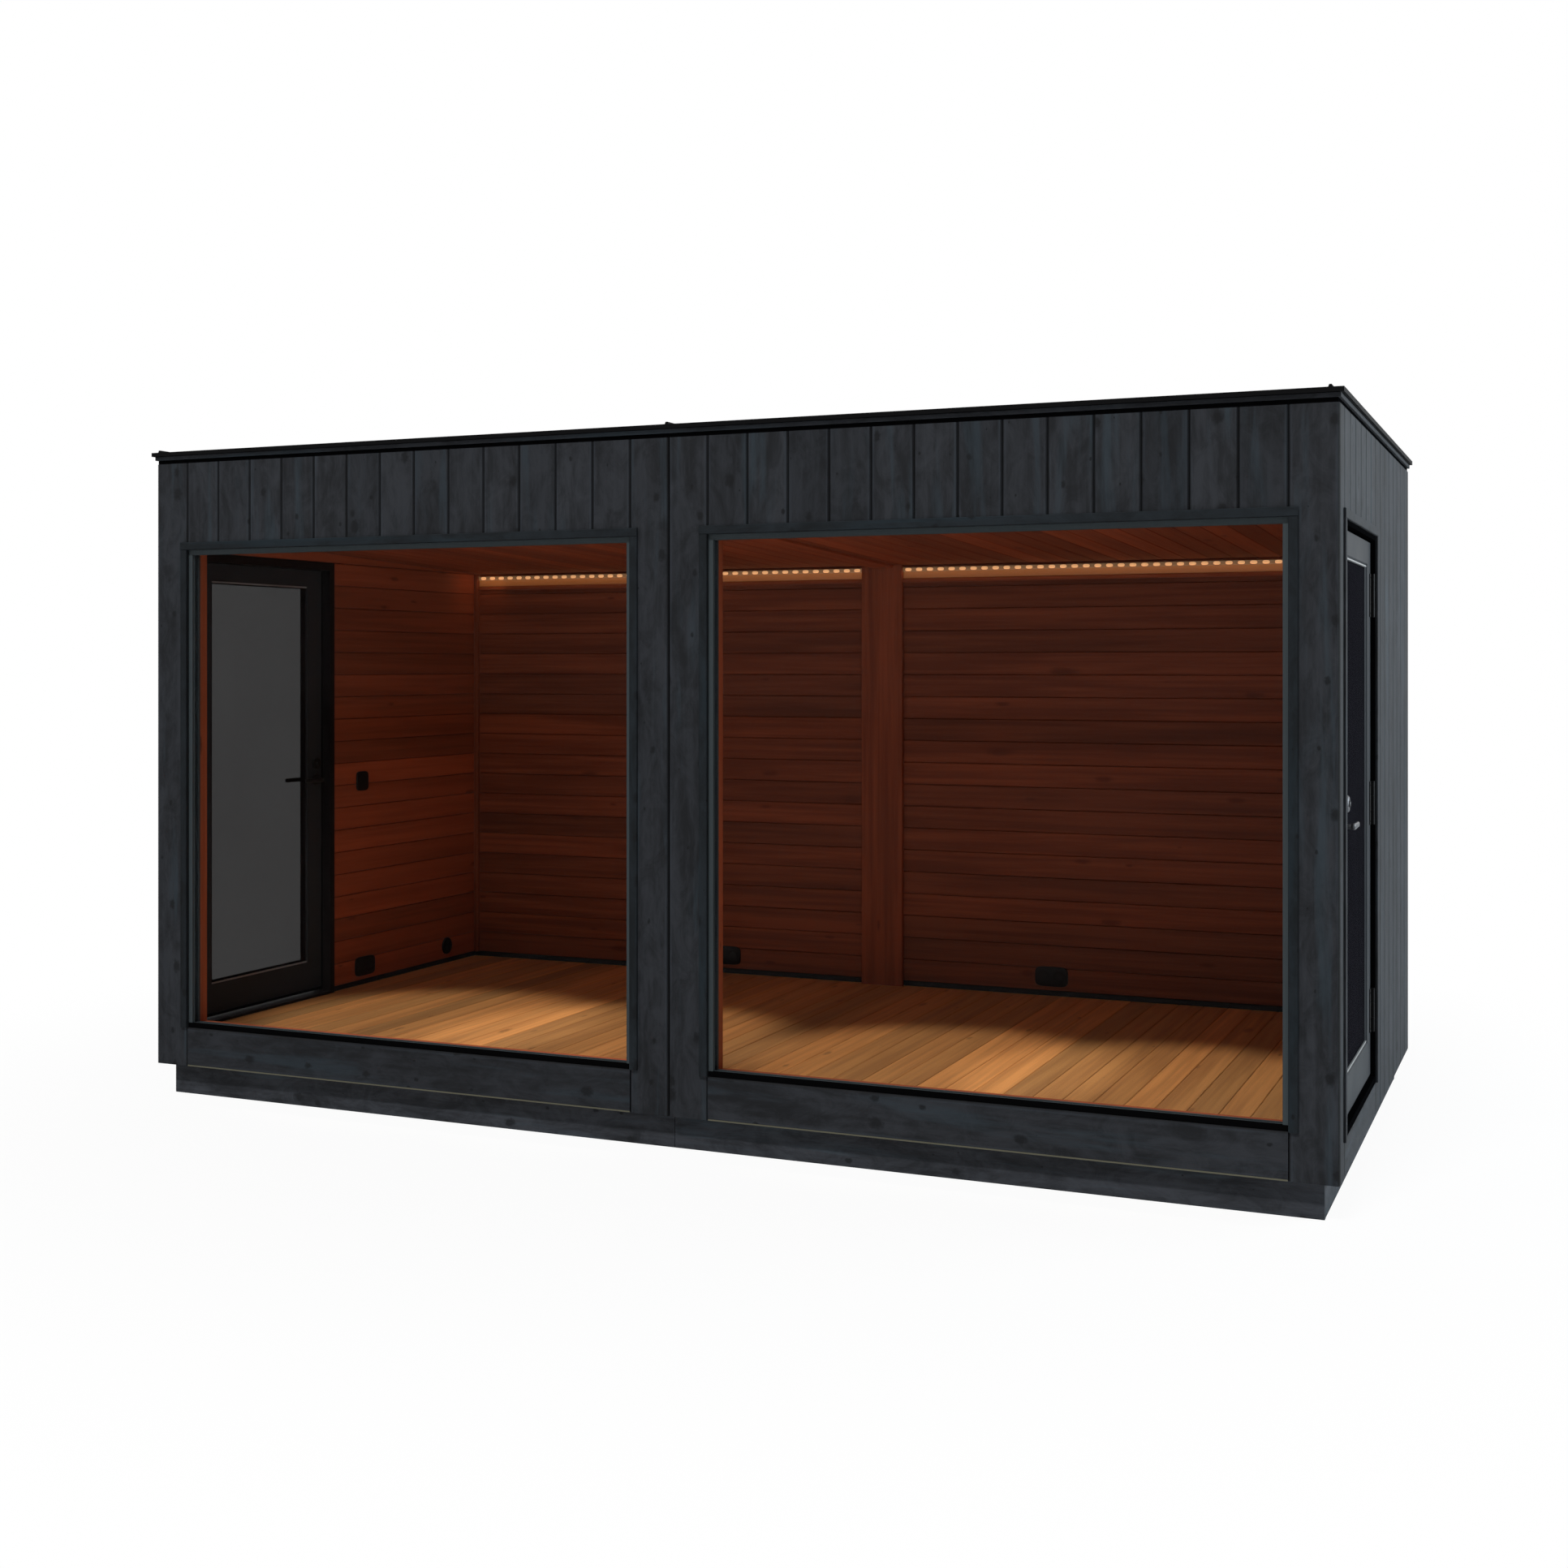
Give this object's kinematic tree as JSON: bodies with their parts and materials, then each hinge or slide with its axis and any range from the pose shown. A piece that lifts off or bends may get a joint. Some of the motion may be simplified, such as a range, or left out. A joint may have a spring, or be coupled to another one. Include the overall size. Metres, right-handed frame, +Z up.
{
  "type": "outdoor sauna cabin",
  "caption": "Flat-roofed timber sauna cabin of two joined modules with dark board cladding, full-height front windows, a glazed door in each end and a cedar-lined room.",
  "frame": {"origin": "centre of the footprint on the ground", "axes": "+Z up, +X along the glazed front to its right-hand end, -Y out of the glazed front"},
  "size_m": [4.55, 2.28, 2.528],
  "materials": {
    "stained_timber": "charcoal stain, matt",
    "cedar": "oiled",
    "floor_timber": "oiled",
    "frame_timber": "planed",
    "roof_membrane": "matt",
    "roof_trim": "satin",
    "drip_metal": "mill",
    "dark_frame": "satin",
    "grey_frame": "satin",
    "clear_glass": "polished",
    "tinted_glass": "polished",
    "hinge_metal": "satin",
    "lock_metal": "brushed",
    "black_plastic": "matt",
    "warm_light": "lit"
  },
  "bodies": {
    "cabin": {"front_cladding": "stained_timber", "back_cladding": "stained_timber", "left_cladding": "stained_timber", "right_cladding": "stained_timber", "plinth": "stained_timber", "roof_fascias": "stained_timber", "front_lining": "cedar", "back_lining": "cedar", "left_lining": "cedar", "right_lining": "cedar", "ceilings": "cedar", "pilaster": "cedar", "ceiling_cover": "cedar", "light_batten": "cedar", "corner_battens": "cedar", "window_reveals": "cedar", "floor_boards": "floor_timber", "bearers": "frame_timber", "floor_panels": "frame_timber", "front_posts": "frame_timber", "front_headers": "frame_timber", "front_sills": "frame_timber", "back_walls": "frame_timber", "door_posts": "frame_timber", "left_wall": "frame_timber", "right_wall": "frame_timber", "door_headers": "frame_timber", "roof_panels": "roof_membrane", "roof_trim_left": "roof_trim", "roof_trim_right": "roof_trim", "roof_trim_front": "roof_trim", "roof_trim_back": "roof_trim", "roof_joint_cap": "roof_trim", "drip_strips": "drip_metal", "window_casings": "dark_frame", "door_casings": "dark_frame", "left_door_frame": "dark_frame", "right_door_frame": "dark_frame", "window_frames": "grey_frame", "window_glass": "clear_glass", "hinge_pins": "hinge_metal", "wall_plates": "black_plastic", "light_strip": "warm_light"},
    "left_door": {"left_door_leaf": "dark_frame", "left_door_glass": "tinted_glass", "left_door_hinges": "hinge_metal", "left_door_lock": "lock_metal"},
    "right_door": {"right_door_leaf": "dark_frame", "right_door_glass": "tinted_glass", "right_door_hinges": "hinge_metal", "right_door_lock": "lock_metal"},
    "left_lever": {"left_door_lever": "lock_metal"},
    "right_lever": {"right_door_lever": "lock_metal"}
  },
  "joints": [
    {"name": "left_door_hinge", "type": "hinge", "parent": "cabin", "child": "left_door", "pos_m": [-2.243, -0.977, 1.207], "axis": [0, 0, 1], "range_deg": [0, 100]},
    {"name": "left_lever_spindle", "type": "hinge", "parent": "left_door", "child": "left_lever", "pos_m": [-2.215, -0.194, 1.185], "axis": [1, 0, 0], "range_deg": [0, 40], "stiffness_Nm_per_rad": 0.8, "springref_deg": -28.65},
    {"name": "right_door_hinge", "type": "hinge", "parent": "cabin", "child": "right_door", "pos_m": [2.243, -0.143, 1.207], "axis": [0, 0, 1], "range_deg": [0, 100]},
    {"name": "right_lever_spindle", "type": "hinge", "parent": "right_door", "child": "right_lever", "pos_m": [2.215, -0.926, 1.185], "axis": [-1, 0, 0], "range_deg": [0, 40], "stiffness_Nm_per_rad": 0.8, "springref_deg": -28.65}
  ]
}
